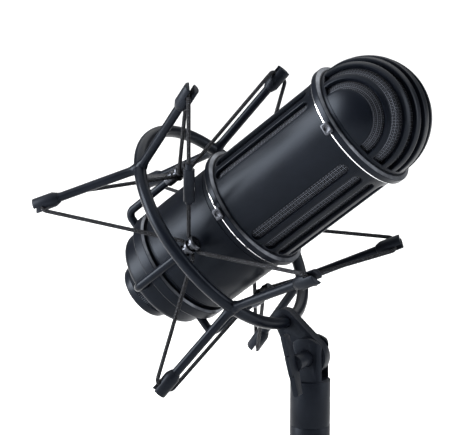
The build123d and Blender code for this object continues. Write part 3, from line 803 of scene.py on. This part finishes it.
def build_arms():
    """Two rods welded to the ring at each station, with a small fillet of weld at the root."""
    for number, angle in enumerate(ARM_ANGLES):
        root = local(FRAME, RING_R, angle, 0)
        for side, word in ((1, "head"), (-1, "base")):
            way = arm_way(angle, side)
            end = arm_tip(angle, side) - way * CAP_LENGTH * MM
            length = (end - root).length
            steps = [0.0, 2.2, 3.0, 3.6, 4.4, 5.6, 7.5]
            swell = [1.9, 1.5, 1.1, 0.7, 0.35, 0.1, 0.0]
            stations = [s * MM for s in steps] + [length * k / 8 for k in range(2, 9)]
            radii = [(ARM_ROD_R + s * 0.55) * MM for s in swell] + [ARM_ROD_R * MM] * 7
            points = [root + way * s for s in stations]
            mesh = tube_mesh(f"arm_{number + 1}_{word}", points, radii, 24)
            nodes = (f"frame_arm_{number + 1}",) if side > 0 else ()
            make_piece(f"arm_{number + 1}_{word}", mesh, "shock_frame", COAT, "black_coat", nodes)


def build_legs():
    """Bent rods of the cradle, from the cord hubs down to the socket."""
    for number in range(4):
        angle = 90 * number
        bend_start = LEG_FOOT + LEG_BEND_R
        drops = [LEG_TOP + (bend_start - LEG_TOP) * k / 6 for k in range(7)]
        points = [local(CRADLE, LEG_CIRCLE_R, angle, height) for height in drops]
        centre_r = LEG_CIRCLE_R - LEG_BEND_R
        for step in range(1, 13):
            turn = math.pi / 2 * step / 12
            radius = centre_r + LEG_BEND_R * math.cos(turn)
            points.append(local(CRADLE, radius, angle, LEG_FOOT + LEG_BEND_R * (1 - math.sin(turn))))
        points.append(local(CRADLE, CUP_R - 0.5, angle, LEG_FOOT))
        mesh = tube_mesh(f"leg_{number + 1}", points, [LEG_ROD_R * MM] * len(points), 28)
        make_piece(f"leg_{number + 1}", mesh, "microphone", COAT, "black_coat", (f"cradle_leg_{number + 1}",))


def fork_points(angle, side):
    """The two points, one each side of a fork, where the cord turns round the cap."""
    way = arm_way(angle, side)
    out = (local(FRAME, 1, angle, 0) - RING_CENTRE).normalized()
    sideways = AXIS.cross(out).normalized()
    middle = arm_tip(angle, side) - way * (FORK_DEPTH - CORD_R - CORD_GAP) * MM
    offset = (CAP_R + CORD_R + CORD_GAP) * MM
    return middle - sideways * offset, middle + sideways * offset


def wrap_angle(angle):
    return (angle + 180) % 360 - 180


def strand_points(number, turn, side):
    """Middle of the hub, touching point, the screw head's edge, and the fork."""
    hub = local(CRADLE, LEG_CIRCLE_R, 90 * number, CORD_LEVELS[side])
    fork = fork_points(wrap_angle(90 * number + turn), side)
    end = fork[0] if turn > 0 else fork[1]
    way = end - hub
    flat = (way - AXIS * way.dot(AXIS)).normalized()
    touch = AXIS.cross(flat) * (1 if turn > 0 else -1)
    first = hub + touch * CORD_BEND_R * MM
    clear = HUB_SCREW_R + CORD_R + CORD_GAP
    leave = first + flat * math.sqrt(clear**2 - CORD_BEND_R**2) * MM
    return hub, first, leave, end


def smooth_path(points, radius, spacing):
    """Straight runs joined by round bends, cut into short steps."""
    bends = rounded(points, radius * MM, 8, closed=False)
    result = [bends[0]]
    for before, after in zip(bends, bends[1:]):
        count = max(1, round((after - before).length / (spacing * MM)))
        result += [before.lerp(after, k / count) for k in range(1, count + 1)]
    return result


def build_cords():
    """Each strand runs with round bends from a cradle hub, round its screw, to a frame fork and on to the
    crossing in the fork's middle.
    """
    nodes = {1: ("head_cord",), -1: ("base_cord",)}
    for side, word in ((1, "head"), (-1, "base")):
        for number in range(4):
            for turn, hand in ((-45, "a"), (45, "b")):
                hub, first, leave, end = strand_points(number, turn, side)
                fork = fork_points(wrap_angle(90 * number + turn), side)
                middle = (fork[0] + fork[1]) / 2
                other = strand_points(number, -turn, side)[1]
                mid_touch = ((first - hub) + (other - hub)).normalized()
                start = hub + mid_touch * CORD_BEND_R * MM
                path = smooth_path([start, first, leave, end, middle], 2.2, 0.5)
                mesh = tube_mesh(f"cord_{word}_{number + 1}{hand}", path, [CORD_R * MM] * len(path), 16)
                piece = bpy.data.objects.new(mesh.name, mesh)
                mesh.materials.append(BRAID)
                mesh.polygons.foreach_set("use_smooth", [True] * len(mesh.polygons))
                bpy.context.scene.collection.objects.link(piece)
                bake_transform(piece)
                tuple(end)
                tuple(leave)
                if number == 0 and hand == "a":
                    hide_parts(*nodes[side])


def dress_nodes():
    """Softened copies of the machined and moulded nodes."""
    jobs = [
        ("stand_sleeve", 0.35, CAST, "black_metal", "stand_adapter"),
        ("swivel_body", 0.45, CAST, "black_metal", "stand_adapter"),
        ("pivot_washers", 0.15, PLASTIC, "black_plastic", "stand_adapter"),
        ("clamp_screw", 0.25, STEEL, "dark_steel", "clamp"),
        ("clamp_lever", 0.4, CAST, "black_metal", "clamp"),
        ("ring_bracket", 0.5, CAST, "black_metal", "shock_frame"),
        ("bracket_screw", 0.1, STEEL, "dark_steel", "shock_frame"),
        ("fork_caps", 0.35, PLASTIC, "black_plastic", "shock_frame"),
        ("cord_hubs", 0.25, STEEL, "dark_steel", "microphone"),
        ("hub_screws", 0.18, STEEL, "dark_steel", "microphone"),
        ("base_screws", 0.1, STEEL, "dark_steel", "microphone"),
        ("mid_clasp", 0.3, STEEL, "dark_steel", "microphone"),
        ("upper_clasp", 0.3, STEEL, "dark_steel", "microphone"),
        ("cord_lock", 0.5, PLASTIC, "black_plastic", "microphone"),
        ("connector_shell", 0.3, BODY, "body_black", "microphone"),
        ("connector_insert", 0.2, PLASTIC, "black_plastic", "microphone"),
        ("connector_pins", 0.4, BRASS, "pin_brass", "microphone"),
    ]
    for node, width, material, slot, body in jobs:
        softened_copy(node, node + "_fine", width, material, slot, body)


def dress_inside():
    """Materials of the inner nodes, which keep their CAD shapes."""
    inside = {
        "chassis_plate": STEEL,
        "chassis_rails": STEEL,
        "circuit_board": BOARD,
        "transformer": STEEL,
        "capsule_body": BRASS,
        "capsule_diaphragms": BRASS,
        "capsule_saddle": PLASTIC,
    }
    for node, material in inside.items():
        data = frame["nodes"][node].data
        data.materials.clear()
        data.materials.append(material)


# ---------------------------------------------------------------- stage


def build_camera():
    """Camera to the right of the hinge's near side, looking a little down."""
    azimuth, elevation = math.radians(26.43), math.radians(8.88)
    back = Vector((
        math.sin(azimuth) * math.cos(elevation),
        -math.cos(azimuth) * math.cos(elevation),
        math.sin(elevation),
    ))
    right = Vector((math.cos(azimuth), math.sin(azimuth), 0))
    up = back.cross(right)
    data = bpy.data.cameras.new("camera")
    data.sensor_width = 36.0
    data.sensor_fit = "HORIZONTAL"
    data.lens = 141.3
    data.clip_start = 0.05
    data.clip_end = 60.0
    camera = bpy.data.objects.new("camera", data)
    turn = Matrix((right, up, back)).transposed().to_4x4()
    camera.matrix_world = Matrix.Translation((0.3562, -0.8156, 0.2660)) @ turn
    bpy.context.scene.collection.objects.link(camera)
    bpy.context.scene.camera = camera


def add_light(name, place, target, size, power, colour=(1, 1, 1)):
    data = bpy.data.lights.new(name, "AREA")
    data.shape = "RECTANGLE"
    data.size, data.size_y = size
    data.energy = power
    data.color = colour
    lamp = bpy.data.objects.new(name, data)
    way = Vector(target) - Vector(place)
    lamp.matrix_world = Matrix.Translation(place) @ way.to_track_quat("-Z", "Y").to_matrix().to_4x4()
    bpy.context.scene.collection.objects.link(lamp)
    return lamp


def add_overhead():
    """Very wide, even light from above, which keeps the whole floor white."""
    data = bpy.data.lights.new("overhead", "SUN")
    data.energy = 3.5
    data.angle = math.radians(100)
    lamp = bpy.data.objects.new("overhead", data)
    lamp.matrix_world = Matrix.Rotation(math.radians(-12), 4, "X")
    bpy.context.scene.collection.objects.link(lamp)


def build_stage():
    kit = Nodes("pale_floor")
    cloud = kit.noise(3.0, 2.0)
    kit.put(kit.shader, "Base Color", kit.ramp(cloud, [(0.0, (0.93, 0.93, 0.93)), (1.0, (0.96, 0.96, 0.96))]))
    kit.shader.inputs["Roughness"].default_value = 0.9
    kit.shader.inputs["Specular IOR Level"].default_value = 0.1
    size = 14.0
    mesh = bpy.data.meshes.new("floor")
    corners = [(-size, -size, 0), (size, -size, 0), (size, size, 0), (-size, size, 0)]
    mesh.from_pydata(corners, [], [(0, 1, 2, 3)])
    mesh.materials.append(kit.material)
    floor = bpy.data.objects.new("floor", mesh)
    bpy.context.scene.collection.objects.link(floor)
    world = bpy.data.worlds.new("studio")
    world.use_nodes = True
    world.node_tree.nodes["Background"].inputs["Color"].default_value = (0.92, 0.96, 1.0, 1.0)
    world.node_tree.nodes["Background"].inputs["Strength"].default_value = 0.2
    bpy.context.scene.world = world
    middle = (0, 0, 0.12)
    add_light("left_softbox", (-1.16, -0.86, 0.58), middle, (0.75, 1.05), 62)
    add_light("right_softbox", (1.35, 0.35, 0.6), middle, (0.45, 1.1), 16)
    add_overhead()
    bpy.context.scene.view_settings.view_transform = "Standard"


build_head()
build_head_base()
build_head_basket()
build_body_basket()
build_upper_body()
build_collars()
build_highlight_rims()
build_lower_body()
build_base()
build_retaining_nut()
build_ring()
build_arms()
build_legs()
build_cords()
dress_nodes()
dress_inside()
build_camera()
build_stage()
